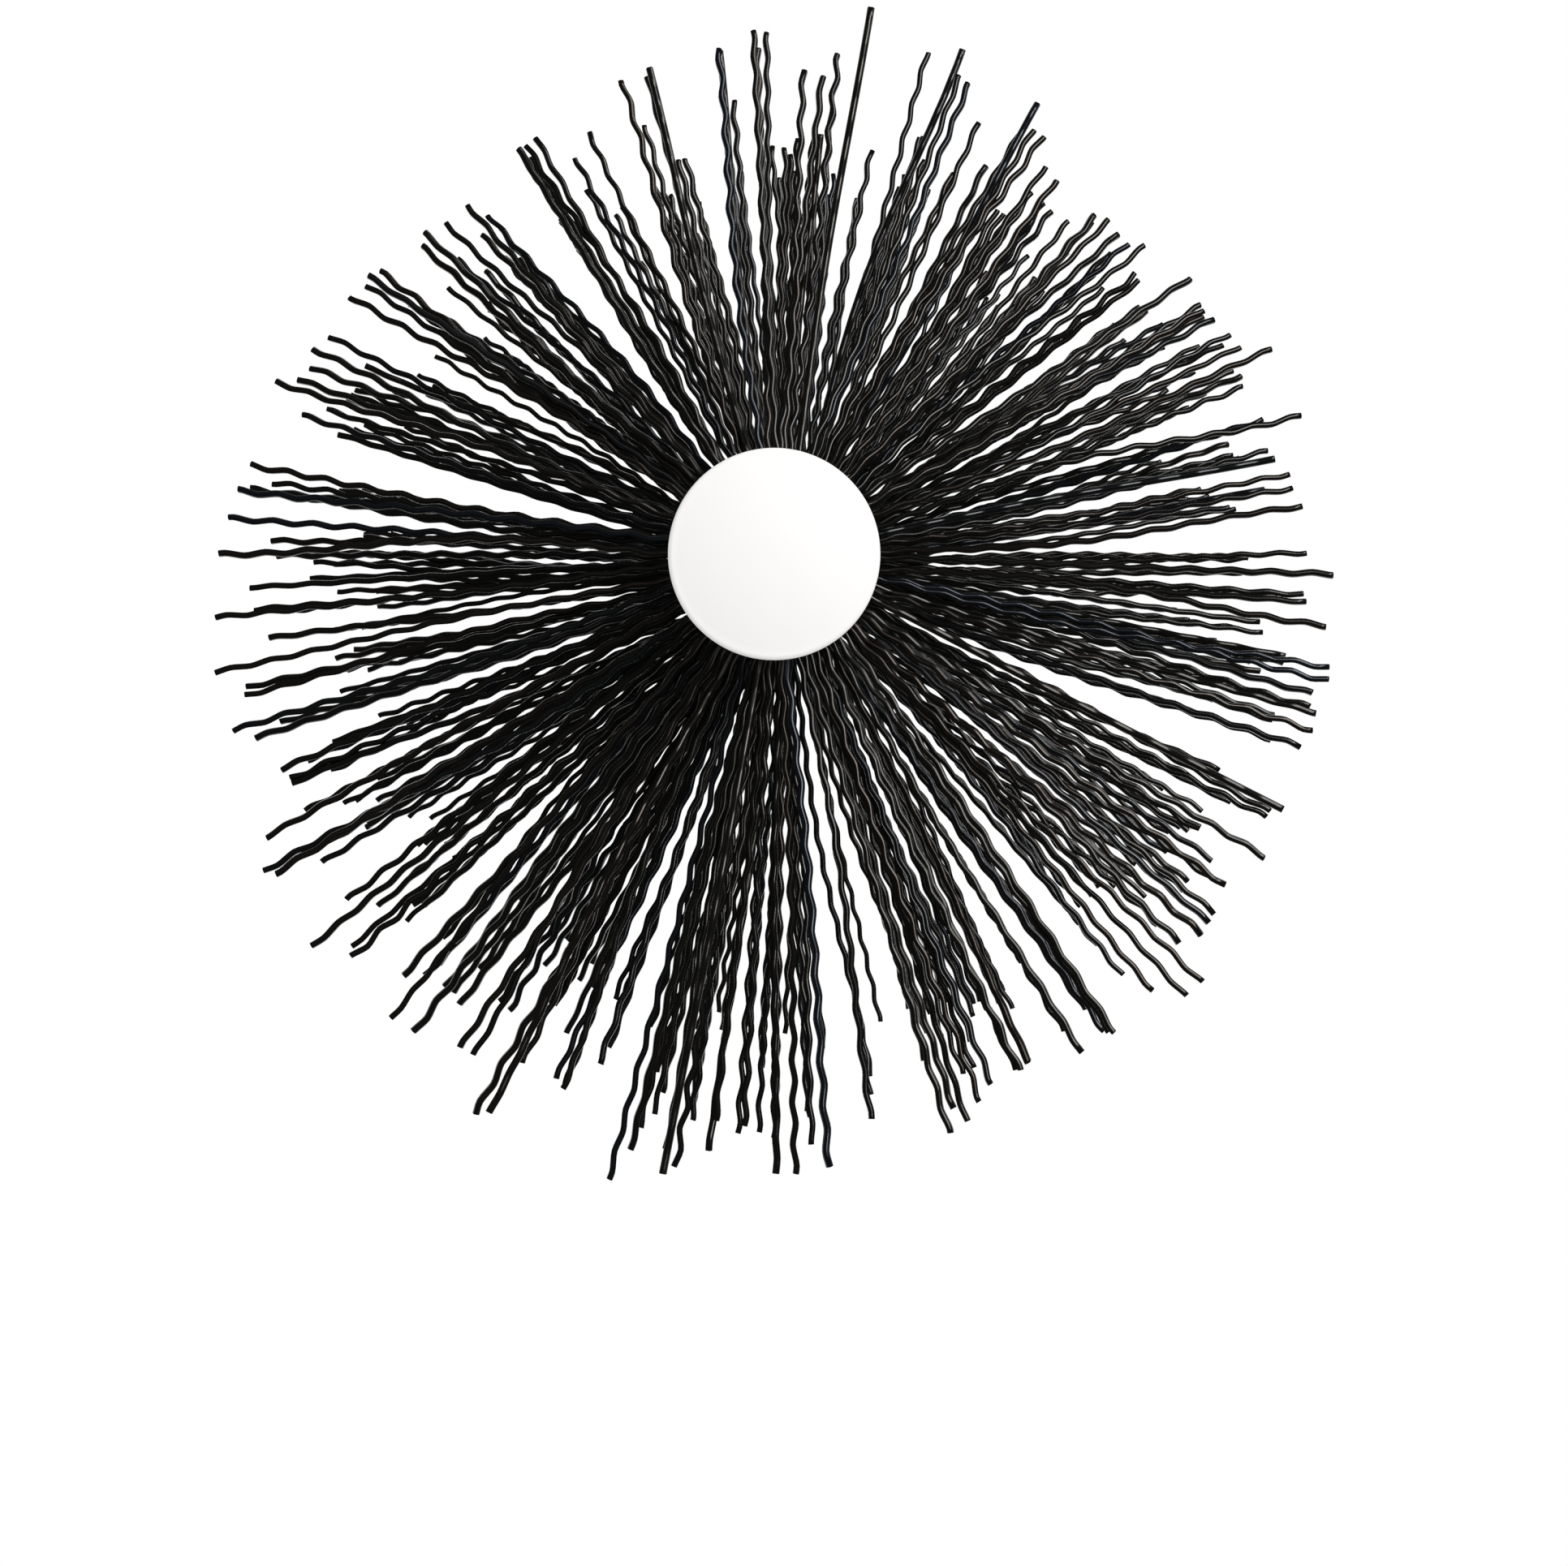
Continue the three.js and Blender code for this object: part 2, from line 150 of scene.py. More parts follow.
# Corners of the rounded flat section, as shares of its half width and half thickness
FLAT_SECTION = ((1, 0), (0.62, 1), (-0.62, 1), (-1, 0), (-0.62, -1), (0.62, -1))

# Roundness
WIRE_SIDES = 14
WIRE_STEPS_PER_TURN = 40
CAP_SEGMENTS = 128
CROWN_STEPS = 19
EDGE_STEPS = 14
FILLET_STEPS = 6
FERRULE_SEGMENTS = 96
THREAD_SEGMENTS = 72
FLANK_STEPS = 6
CRIMP_STEPS = 10
SMOOTH_ANGLE = radians(32)
MERGE_REACH = 0.001 * MM  # nearer corners become one

# Refractive index of polyamide
NYLON_IOR = 1.53

# Lamps: name, azimuth from the front of the nose, elevation and apparent size in degrees, and
# share of the lamps' level
LAMPS = (("front_lamp", 28, 22, 28, 0.31), ("side_lamp", 60, 40, 28, 0.23))

# How far back a reflection points where the white backdrop begins in it, and where it is full
BACKDROP_FADE = (0.45, 0.95)

# Photograph's frame, in pixels, and where the camera stood
IMAGE_SIZE = (1932, 1930)
FOCAL_PIXELS = 2360
PRINCIPAL_PIXEL = (1019, 773)
SENSOR_WIDTH = 36  # millimetres, as the camera's setting
CAMERA_PLACE = (5.2 * MM, -326 * MM, -7.2 * MM)
CAMERA_RANGE = (1 * MM, 20)  # from the nearest to the farthest that it shows


def linear_from_hex(code):
    """Linear red, green and blue of an sRGB colour such as #1a2b3c."""
    channels = [int(code[i : i + 2], 16) / 255 for i in (1, 3, 5)]
    return tuple(c / 12.92 if c <= 0.04045 else ((c + 0.055) / 1.055) ** 2.4 for c in channels)


def in_mm(name, description, millimetres):
    """A length for the panel, given in millimetres and kept in metres."""
    return bpy.props.FloatProperty(
        name=name, description=description, default=millimetres * MM, unit="LENGTH"
    )


def in_srgb(name, description, code):
    """A colour for the panel, given in sRGB and kept linear."""
    return bpy.props.FloatVectorProperty(
        name=name, description=description, default=linear_from_hex(code), subtype="COLOR"
    )


def in_whites(name, description, level):
    """A light level for the panel, where 1 is white."""
    return bpy.props.FloatProperty(name=name, description=description, default=level)


class BristleSettings(bpy.types.PropertyGroup):
    """Crimped nylon filaments."""

    brush_diameter: in_mm("Brush diameter", "Over the trimmed tips", 120)
    filament_width: in_mm("Filament width", "Across the flat section", 0.8)
    filament_thickness: in_mm("Filament thickness", "Through the flat section, where free", 0.61)
    crimp_pitch: in_mm("Crimp pitch", "Length of one wave of the crimp", 4.3)
    crimp_height: in_mm("Crimp height", "From trough to peak of the crimp", 0.33)
    nylon: in_srgb("Nylon", "Colour of most filaments", "#050504")
    cool_nylon: in_srgb("Cool nylon", "Colour of the bluest filaments", "#05070b")
    warm_nylon: in_srgb("Warm nylon", "Colour of the brownest filaments", "#090705")
    sheen: in_srgb("Sheen", "Tint of most filaments' highlights", "#fffcf7")
    cool_sheen: in_srgb("Cool sheen", "Tint of the bluest highlights", "#e6f0ff")
    warm_sheen: in_srgb("Warm sheen", "Tint of the brownest highlights", "#fff4e8")
    cut_nylon: in_srgb("Cut nylon", "Colour of the sheared tips", "#262627")


class CapSettings(bpy.types.PropertyGroup):
    """White cap on the nose."""

    diameter: in_mm("Diameter", "Over the side of the cap", 20.9)
    length: in_mm("Length", "Over the crown of the cap", 12.5)
    crown: in_mm("Crown", "Rise of the front face in its middle", 1.3)
    edge_radius: in_mm("Edge radius", "Round between front face and side", 0.6)
    rear_bevel: in_mm("Rear bevel", "Bevel at the cap's rear edge", 0.8)
    front_wall: in_mm("Front wall", "Plastic in front of the stem's end", 3)
    plastic: in_srgb("Plastic", "Colour of the cap", "#f4f3f1")


class StemSettings(bpy.types.PropertyGroup):
    """Twisted wires."""

    wire_diameter: in_mm("Wire diameter", "Of each of the four wires", 2.2)
    twist_length: in_mm("Twist length", "Stem for one full turn", 20)
    end_bevel: in_mm("End bevel", "Burr taken off the cut wire ends", 0.15)
    wire: in_srgb("Wire", "Colour of the galvanised wire", "#a6a9ab")


class FerruleSettings(bpy.types.PropertyGroup):
    """Threaded ferrule that the rod screws on to."""

    thread_diameter: in_mm("Thread diameter", "Over the crests", 11.8)
    thread_pitch: in_mm("Thread pitch", "From crest to crest", 1.75)
    thread_depth: in_mm("Thread depth", "From crest to root", 1.05)
    thread_length: in_mm("Stud length", "Of the whole stud", 20)
    relief_length: in_mm("Neck length", "Plain neck before the shoulder", 3)
    relief_diameter: in_mm("Neck diameter", "Of the plain neck", 9.2)
    hex_across_flats: in_mm("Hexagon", "Across the flats", 17)
    hex_length: in_mm("Hexagon length", "Along the stem", 8)
    hex_bevel: in_mm("Hexagon bevel", "Turned off its corners", 1.2)
    sleeve_diameter: in_mm("Sleeve diameter", "Of the crimped sleeve", 13)
    sleeve_length: in_mm("Sleeve length", "From the hexagon to the mouth", 24)
    sleeve_bore_depth: in_mm("Bore depth", "From the mouth inwards", 22)
    sleeve_bevel: in_mm("Sleeve bevel", "At the mouth of the sleeve", 0.8)
    crimp_depth: in_mm("Crimp depth", "Of each rolled groove", 0.55)
    crimp_width: in_mm("Crimp width", "Of each rolled groove", 3.2)
    crimp_offset: in_mm("Crimp offset", "From the mouth to the first groove", 5)
    crimp_spacing: in_mm("Crimp spacing", "Between the two grooves", 7)
    zinc: in_srgb("Zinc", "Colour of the plating", "#b9b9b4")


class StageSettings(bpy.types.PropertyGroup):
    """World and lamps."""

    world_level: in_whites("World level", "Soft light from all sides, where 1 is white", 0.76)
    room_level: in_whites("Room level", "Of the room in front, as reflections show it", 0.03)
    lamp_level: in_whites("Lamp level", "Of a lamp with share 1, on what faces it", 1)


class BrushSettings(bpy.types.PropertyGroup):
    """All settings of the brush and its stage."""

    bristles: bpy.props.PointerProperty(type=BristleSettings)
    cap: bpy.props.PointerProperty(type=CapSettings)
    stem: bpy.props.PointerProperty(type=StemSettings)
    ferrule: bpy.props.PointerProperty(type=FerruleSettings)
    stage: bpy.props.PointerProperty(type=StageSettings)


# Places along the stem


def sleeve_end_at(brush):
    return brush.ferrule.hex_length + brush.ferrule.sleeve_length


def sleeve_bore_at(brush):
    return sleeve_end_at(brush) - brush.ferrule.sleeve_bore_depth


def bristle_tail_at(brush):
    return sleeve_end_at(brush) + TAIL_STEM_LENGTH


def bristle_nose_at(brush):
    return bristle_tail_at(brush) + BRISTLE_LENGTH


def cap_rear_at(brush):
    return bristle_nose_at(brush) + NOSE_STEM_LENGTH


def cap_nose_at(brush):
    return cap_rear_at(brush) + brush.cap.length


def cap_bore_at(brush):
    return cap_nose_at(brush) - brush.cap.front_wall


def twist_at(brush, distance):
    """Direction of the filament layer at a distance along the stem, in radians."""
    return 2 * pi * distance / brush.stem.twist_length


def wire_lay(brush):
    """Angle of the wires to the stem, where they lie, and the radius of their bores."""
    radius = brush.stem.wire_diameter / 2
    slope = 2 * pi * sqrt(2) * radius / brush.stem.twist_length
    lay = atan(slope)
    across = (radius + SEAT_GAP / 2) / cos(lay)
    out = GRIP_THICKNESS / 2 + (radius + SEAT_GAP) / cos(lay)
    middle = hypot(across, out)
    bore = middle + radius + SEAT_GAP
    return SimpleNamespace(angle=lay, across=across, out=out, radius=middle, bore=bore)


# Materials


def add_node(tree, kind, settings=None, values=None, links=None):
    """A new node with these settings, values of its inputs and outputs that feed them."""
    node = tree.nodes.new("ShaderNode" + kind)
    for name, setting in (settings or {}).items():
        setattr(node, name, setting)
    for socket, value in (values or {}).items():
        node.inputs[socket].default_value = value
    for socket, output in (links or {}).items():
        tree.links.new(output, node.inputs[socket])
    return node


def new_material(name):
    """An empty material and its node tree."""
    material = bpy.data.materials.new(name)
    material.use_nodes = True
    material.node_tree.nodes.clear()
    return material, material.node_tree


def finish_surface(material, values, links):
    """Ends a material in a shader with these inputs."""
    tree = material.node_tree
    shader = add_node(tree, "BsdfPrincipled", values=values, links=links)
    add_node(tree, "OutputMaterial", links={"Surface": shader.outputs["BSDF"]})
    return material


def object_place(tree):
    """Place on the piece, in metres."""
    return add_node(tree, "TexCoord").outputs["Object"]


def drawn_place(tree, uv_name, line, stretch):
    """Place on a filament or wire, in lines round it and in stretched lines along it."""
    surface = add_node(tree, "UVMap", {"uv_map": uv_name}).outputs["UV"]
    values = {"Scale": (1 / line, 1 / (stretch * line), 1)}
    return add_node(tree, "Mapping", None, values, {"Vector": surface}).outputs["Vector"]


def noise(tree, place, size, detail, roughness=0.5):
    """Uneven patches of a size, from 0 to 1."""
    values = {"Scale": 1 / size, "Detail": detail, "Roughness": roughness}
    return add_node(tree, "TexNoise", None, values, {"Vector": place}).outputs["Fac"]


def bump(tree, height, strength, depth, under=None):
    """Relief of a depth, on top of the relief under it."""
    values = {"Strength": strength, "Distance": depth}
    links = {"Height": height} if under is None else {"Height": height, "Normal": under}
    return add_node(tree, "Bump", None, values, links).outputs["Normal"]


def rescale(tree, share, low, high, start=0, end=1, kind="LINEAR"):
    """Turns start to end into low to high."""
    settings = {"interpolation_type": kind}
    values = {"From Min": start, "From Max": end, "To Min": low, "To Max": high}
    node = add_node(tree, "MapRange", settings, values, {"Value": share})
    return node.outputs["Result"]


def opaque(colour):
    """A colour with full alpha."""
    return (*colour, 1)


def ramp(tree, share, *stops):
    """Colours between stops, each with its place and colour."""
    node = add_node(tree, "ValToRGB", links={"Fac": share})
    elements = node.color_ramp.elements
    for element, (place, colour) in zip(elements, (stops[0], stops[-1])):
        element.position, element.color = place, opaque(colour)
    for place, colour in stops[1:-1]:
        elements.new(place).color = opaque(colour)
    return node.outputs["Color"]


def crimped_nylon(bristles):
    """Nylon 6 monofilament, extruded black and crimped between gears.

    The extrusion leaves a satin skin with faint lines along the filament, so light runs down it in
    streaks. Each filament comes from another part of the bundle, with a slightly different black.
    """
    material, tree = new_material("Nylon monofilament, extruded and crimped")
    # Real die lines are near 0.02 mm apart and too fine to show, so these are 0.12 mm apart
    die_line = 0.12 * MM
    bundle = add_node(tree, "NewGeometry").outputs["Random Per Island"]
    shade, sheen = (
        ramp(tree, bundle, (0, cool), (0.2, usual), (0.6, usual), (1, warm))
        for cool, usual, warm in (
            (bristles.cool_nylon, bristles.nylon, bristles.warm_nylon),
            (bristles.cool_sheen, bristles.sheen, bristles.warm_sheen),
        )
    )
    lines = noise(tree, drawn_place(tree, "filament", die_line, stretch=60), 1, detail=2)
    links = {
        "Base Color": shade,
        "Specular Tint": sheen,
        "Roughness": rescale(tree, lines, 0.16, 0.28),
        "Normal": bump(tree, lines, 0.12, 0.01 * MM),
    }
    return finish_surface(material, {"IOR": NYLON_IOR, "Specular IOR Level": 0.8}, links)


def sheared_nylon(bristles):
    """Nylon 6 monofilament, sheared. The cut is matt and a little greyer than the skin."""
    material, tree = new_material("Nylon monofilament, sheared")
    tear = noise(tree, object_place(tree), 0.08 * MM, detail=3)
    values = {"Base Color": opaque(bristles.cut_nylon), "Roughness": 0.7, "IOR": NYLON_IOR}
    return finish_surface(material, values, {"Normal": bump(tree, tear, 0.6, 0.02 * MM)})


def moulded_white_plastic(cap):
    """Polyamide, injection moulded in a spark-eroded tool.

    The mould leaves a very fine even grain that spreads highlights wide, and the front face is
    slightly uneven where the thick wall sank as it cooled.
    """
    material, tree = new_material("Polyamide, injection moulded white")
    place = object_place(tree)
    grain = noise(tree, place, 0.25 * MM, detail=2)
    sink = noise(tree, place, 7 * MM, detail=1)
    uneven = bump(tree, sink, 0.12, 0.3 * MM)
    links = {
        "Roughness": rescale(tree, sink, 0.46, 0.54),
        "Normal": bump(tree, grain, 0.1, 0.01 * MM, uneven),
    }
    return finish_surface(material, {"Base Color": opaque(cap.plastic), "IOR": NYLON_IOR}, links)


def galvanised_wire(stem):
    """Steel wire, drawn and galvanised.

    Drawing leaves lines along the wire under a soft zinc skin, which is bright on the crowns of the
    twist and duller where the wires rubbed each other. Here the bright and dull zinc lie in uneven
    patches all over the wire. A thin chalky bloom makes it partly matt.
    """
    material, tree = new_material("Steel wire, drawn and galvanised")
    # Real drawing lines are finer than a pixel, so these are 0.25 mm apart
    draw_line = 0.25 * MM
    lines = noise(tree, drawn_place(tree, "wire", draw_line, stretch=40), 1, detail=3)
    patches = noise(tree, object_place(tree), 3 * MM, detail=4, roughness=0.6)
    dull_share = 0.72
    duller = [c * dull_share for c in stem.wire]
    links = {
        "Base Color": ramp(tree, patches, (0.3, stem.wire), (0.7, duller)),
        "Roughness": rescale(tree, patches, 0.26, 0.5, 0.3, 0.7),
        "Normal": bump(tree, lines, 0.3, 0.02 * MM),
    }
    return finish_surface(material, {"Metallic": 0.6}, links)


def turned_zinc_plate(ferrule):
    """Free-cutting steel, turned and zinc plated.

    The tool leaves fine rings round the axis. The plating has a faint yellow bloom, which makes it
    partly matt, and is duller down in the thread roots.
    """
    material, tree = new_material("Steel, turned and zinc plated")
    # The real feed is near 0.08 mm a turn and too fine to show, so the rings are 0.2 mm apart
    feed = 0.2 * MM
    place = object_place(tree)
    axes = add_node(tree, "SeparateXYZ", links={"Vector": place}).outputs
    flat = add_node(tree, "CombineXYZ", links={"X": axes["X"], "Y": axes["Z"]})
    length, links = {"operation": "LENGTH"}, {0: flat.outputs["Vector"]}
    out = add_node(tree, "VectorMath", length, None, links).outputs["Value"]
    turned = add_node(tree, "CombineXYZ", links={"X": out, "Y": axes["Y"]})
    rings = noise(tree, turned.outputs["Vector"], feed, detail=2)
    bloom = noise(tree, place, 6 * MM, detail=3)
    yellow_tint = (1, 0.96, 0.86)
    yellowed = [c * share for c, share in zip(ferrule.zinc, yellow_tint)]
    crest = ferrule.thread_diameter / 2
    root, flank = crest - ferrule.thread_depth, crest - ferrule.thread_depth / 3
    links = {
        "Base Color": ramp(tree, bloom, (0.35, ferrule.zinc), (0.7, yellowed)),
        "Roughness": rescale(tree, out, 0.46, 0.3, root, flank),
        "Normal": bump(tree, rings, 0.25, 0.02 * MM),
    }
    return finish_surface(material, {"Metallic": 0.65}, links)


# Shapes


def stem_points(distance, angle, out, beside=0):
    """Points at distances along the stem, out from it and beside that direction."""
    distance, angle, out, beside = np.broadcast_arrays(distance, angle, out, beside)
    x = out * np.cos(angle) - beside * np.sin(angle)
    z = out * np.sin(angle) + beside * np.cos(angle)
    return np.stack([x, -distance, z], axis=-1)


def unit(vectors):
    return vectors / np.linalg.norm(vectors, axis=-1, keepdims=True)


def square_to(vectors, tangents):
    """The part of each vector that is square to its tangent, with length 1."""
    along = np.sum(vectors * tangents, axis=-1, keepdims=True)
    return unit(vectors - along * tangents)


def directions(path, along):
    """Directions of a path, which is a function of the length along it."""
    return unit(path(along + SLOPE_STEP) - path(along - SLOPE_STEP))


def smooth_step(values, start, reach):
    """0 up to start and 1 from start + reach on, with a smooth climb between."""
    share = np.clip((values - start) / reach, 0, 1)
    return share * share * (3 - 2 * share)


class Bundle:
    """Swept tubes in one mesh. Its UV map holds the lengths round and along each tube."""

    def __init__(self):
        self.points, self.quads, self.quad_uvs, self.ends = [], [], [], []

    def add_tube(self, centres, tangents, thin, corners, lengths):
        """Adds a tube with flat ends. corners holds (wide, thin) points, a row a ring."""
        wide = np.cross(tangents, thin)
        spread = corners[..., :1] * wide[:, None] + corners[..., 1:] * thin[:, None]
        ring_count, sides = spread.shape[:2]
        first = sum(map(len, self.points))
        self.points.append((centres[:, None] + spread).reshape(-1, 3))
        ring, side = np.indices((ring_count - 1, sides))[..., None]
        ring, side = ring + np.array([0, 1, 1, 0]), side + np.array([0, 0, 1, 1])
        self.quads.append((first + ring * sides + side % sides).reshape(-1, 4))
        steps = np.linalg.norm(np.roll(corners[0], -1, axis=0) - corners[0], axis=1)
        around = np.concatenate([[0], np.cumsum(steps)])
        self.quad_uvs.append(np.stack([around[side], lengths[ring]], axis=-1).reshape(-1, 2))
        last = first + (ring_count - 1) * sides
        self.ends += [[*range(first, first + sides)], [*range(last + sides - 1, last - 1, -1)]]

    def mesh_object(self, name, uv_name, side_material, end_material):
        """The mesh, with smooth sides and flat ends."""
        quads = np.concatenate(self.quads)
        mesh = bpy.data.meshes.new(name)
        mesh.from_pydata(np.concatenate(self.points).tolist(), [], quads.tolist() + self.ends)
        is_end = np.arange(len(mesh.polygons)) >= len(quads)
        mesh.polygons.foreach_set("use_smooth", ~is_end)
        mesh.polygons.foreach_set("material_index", is_end.astype(np.int32))
        end_uvs = np.zeros((len(mesh.loops) - quads.size, 2))
        uvs = np.concatenate([*self.quad_uvs, end_uvs])
        mesh.uv_layers.new(name=uv_name).data.foreach_set("uv", uvs.ravel())
        mesh.materials.append(side_material)
        mesh.materials.append(end_material)
        return link_object(name, mesh)


def link_object(name, data):
    """An object of this data, in the scene."""
    made = bpy.data.objects.new(name, data)
    bpy.context.scene.collection.objects.link(made)
    return made


def seat_piece(piece, node):
    """The piece stands in for its CAD node, which is hidden, and hangs on the body."""
    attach(piece, BODY)
    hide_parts(node)


def add_points(shell, distances, angles, radii):
    """New corners at distances along the stem and radii round it."""
    return [shell.verts.new(point) for point in stem_points(distances, angles, radii)]


def add_middle(shell, distance, count):
    """A new corner on the axis, as often as a ring has corners."""
    return add_points(shell, distance, [0], 0) * count


def add_turned(shell, profile, segments):
    """A turned solid from (radius, distance along the stem) points."""
    angles = np.arange(segments) * 2 * pi / segments
    rings = [
        add_points(shell, at, angles, radius) if radius else add_middle(shell, at, segments)
        for radius, at in profile
    ]
    join_rings(shell, rings)


def join_rings(shell, rings):
    """Faces between neighbouring rings, where equal corners are joined."""
    for nose_ring, tail_ring in zip(rings, rings[1:]):
        for i, corner in enumerate(nose_ring):
            after = (i + 1) % len(nose_ring)
            corners = [corner, nose_ring[after], tail_ring[after], tail_ring[i]]
            face = list(dict.fromkeys(corners))
            if len(face) > 2:
                shell.faces.new(face)


def shell_object(name, shell, material):
    """The finished shell, smooth but for its edges."""
    bmesh.ops.remove_doubles(shell, verts=shell.verts, dist=MERGE_REACH)
    bmesh.ops.recalc_face_normals(shell, faces=shell.faces)
    mesh = bpy.data.meshes.new(name)
    shell.to_mesh(mesh)
    shell.free()
    mesh.shade_smooth()
    mesh.set_sharp_from_angle(angle=SMOOTH_ANGLE)
    mesh.materials.append(material)
    return link_object(name, mesh)


# Filaments


def repeatable_random(state):
    """Numbers from 0 to 1, the same in each run."""
    multiplier, increment, modulus = 1664525, 1013904223, 2**32
    while True:
        state = (state * multiplier + increment) % modulus
        yield state / modulus


def seen_direction(brush, direction, distance):
    """Direction, in degrees, in which the photograph shows a tip from the middle of the cap."""
    tip = stem_points(distance, radians(direction), brush.bristles.brush_diameter / 2)
    tip = tip + TRIM_SHIFT - CAMERA_PLACE
    cap = stem_points(cap_nose_at(brush), 0, 0) - CAMERA_PLACE
    seen = tip / tip[1] - cap / cap[1]
    return degrees(atan2(seen[2], seen[0]))


def turn_between(direction, other):
    """Turn from another direction to this one, from -180 to 180 degrees."""
    return (direction - other + 180) % 360 - 180


def out_of_gaps(brush, direction, distance):
    """Pushes a direction, in degrees, out of the gaps and keeps the order of the filaments."""
    seen = seen_direction(brush, direction, distance)
    push = 0
    for middle, width in GAP_DIRECTIONS:
        away = turn_between(seen, middle)
        push += np.sign(away) * width / 2 * exp(-abs(away) / GAP_REACH)
    return direction + push


def new_filament(section, start, width, beside=None):
    """A filament that crosses the stem here. Its tips come later."""
    return SimpleNamespace(section=section, start=start, width=width, beside=beside, tips={})


def lay_filaments(brush):
    """Where each filament crosses the stem."""
    section_pitch = BRISTLE_LENGTH / SECTION_COUNT
    pitch = (section_pitch - SEAT_GAP) / FILAMENTS_PER_SECTION
    width = pitch * (1 - BESIDE_SHARE)
    return [
        new_filament(section, bristle_tail_at(brush) + section * section_pitch + i * pitch, width)
        for section in range(SECTION_COUNT)
        for i in range(FILAMENTS_PER_SECTION)
    ]


def end_clump(brush, clump, side, draw):
    """Ends a clump of neighbouring filaments on one side of the stem, 0 or 180 degrees."""
    roots = [degrees(twist_at(brush, filament.start)) + side for filament in clump]
    middle = (roots[0] + roots[-1]) / 2
    least, most = CLUMP_PULL_SHARES
    pull = SECTION_PULL_SHARES[clump[0].section] * (least + (most - least) * next(draw))
    shift = CLUMP_SCATTER * (2 * next(draw) - 1)
    for filament, root in zip(clump, roots):
        straight = middle + (root - middle) * pull + ANGLE_SCATTER * (2 * next(draw) - 1)
        angle = radians(out_of_gaps(brush, straight, filament.start))
        trim = SHORTEST_TRIM * next(draw) ** 2
        forward = shift + TIP_SCATTER * (2 * next(draw) - 1) - LOW_TIPS_FORWARD * sin(angle)
        filament.tips[side] = SimpleNamespace(
            angle=angle,
            radius=brush.bristles.brush_diameter / 2 - trim,
            distance=filament.start + forward,
        )


def stand_out(brush, tips, direction, share):
    """Takes the tip that is seen nearest to a direction, turns it there and sets its reach."""
    turns = [
        turn_between(direction, seen_direction(brush, degrees(tip.angle), tip.distance))
        for tip in tips
    ]
    nearest = min(range(len(tips)), key=lambda place: abs(turns[place]))
    tip = tips.pop(nearest)
    tip.angle += radians(turns[nearest])
    tip.radius = brush.bristles.brush_diameter / 2 + STRAY_REACH * share
    return tip


def lay_out_filaments(brush):
    """Where each filament crosses the stem, and where its two tips end."""
    draw = repeatable_random(LAYOUT_SEED)
    filaments = lay_filaments(brush)
    for side in (0, 180):
        rest = filaments
        while rest:
            size = CLUMP_SIZES[int(next(draw) * len(CLUMP_SIZES))]
            end_clump(brush, rest[:size], side, draw)
            rest = rest[size:]
    for filament in filaments:
        for tip in filament.tips.values():
            seen = seen_direction(brush, degrees(tip.angle), tip.distance)
            if any(abs(turn_between(seen, middle)) < width / 2 for middle, width in SHORT_ZONES):
                tip.radius -= SHORT_TRIM
    nose = bristle_nose_at(brush)
    front = [f for f in filaments if nose - f.start < STRAY_ZONE_LENGTH]
    tips = [tip for filament in front for tip in filament.tips.values()]
    ribbons = [stand_out(brush, tips, direction, share) for direction, share in RIBBON_TIP_SHARES]
    for direction, share in STRAY_TIP_SHARES:
        stand_out(brush, tips, direction, share)
    filaments += extra_filaments(brush, filaments)
    shape_filaments(brush, filaments)
    for ribbon in ribbons:
        ribbon.roll = pi / 2
        ribbon.distance += RIBBON_FORWARD
    return filaments


def extra_filaments(brush, filaments):
    """More filaments, each beside another one and with tips near its tips."""
    chance = np.random.default_rng(EXTRA_SEED)
    extras = []
    for section in range(SECTION_COUNT):
        own = [f for f in filaments if f.section == section]
        for place in chance.choice(len(own), EXTRA_PER_SECTION[section], replace=False):
            beside = own[place]
            extra = new_filament(section, beside.start + beside.width, beside.width, beside)
            for side, tip in beside.tips.items():
                turned = degrees(tip.angle) + EXTRA_TURN + EXTRA_ANGLE_SCATTER * chance.normal()
                extra.tips[side] = SimpleNamespace(
                    angle=radians(out_of_gaps(brush, turned, tip.distance)),
                    radius=min(tip.radius, brush.bristles.brush_diameter / 2),
                    distance=tip.distance + EXTRA_TIP_SCATTER * chance.normal(),
                )
            extras.append(extra)
    return extras


def shape_filaments(brush, filaments):
    """Gives each filament its crimp, and each tip a bow and a turn of the flat section."""
    chance = np.random.default_rng(FORM_SEED)
    usual = brush.bristles
    for number, filament in enumerate(filaments):
        if number % HANK_SIZE == 0 or chance.random() < LOOSE_PHASE_SHARE:
            phase = chance.random()
            pitch = usual.crimp_pitch * (1 + CRIMP_PITCH_SCATTER * chance.normal())
        if filament.beside:
            phase, pitch = filament.beside.phase, filament.beside.pitch
        filament.phase = phase + PHASE_SCATTER * chance.normal()
        filament.pitch = pitch * (1 + HANK_PITCH_SCATTER * chance.normal())
        filament.height = usual.crimp_height * (1 + CRIMP_HEIGHT_SCATTER * chance.normal())
        filament.layer = GRIP_LAYER if number % 2 else -GRIP_LAYER
        for tip in filament.tips.values():
            tip.bow = BOW * chance.normal(size=2)
            tip.roll = radians(ROLL_SCATTER) * chance.normal()
            if chance.random() < LOOSE_ROLL_SHARE:
                tip.roll = pi * (chance.random() - 0.5)


def tip_point(tip):
    """Where the tip of a filament ends."""
    return stem_points(tip.distance, tip.angle, tip.radius) + TRIM_SHIFT


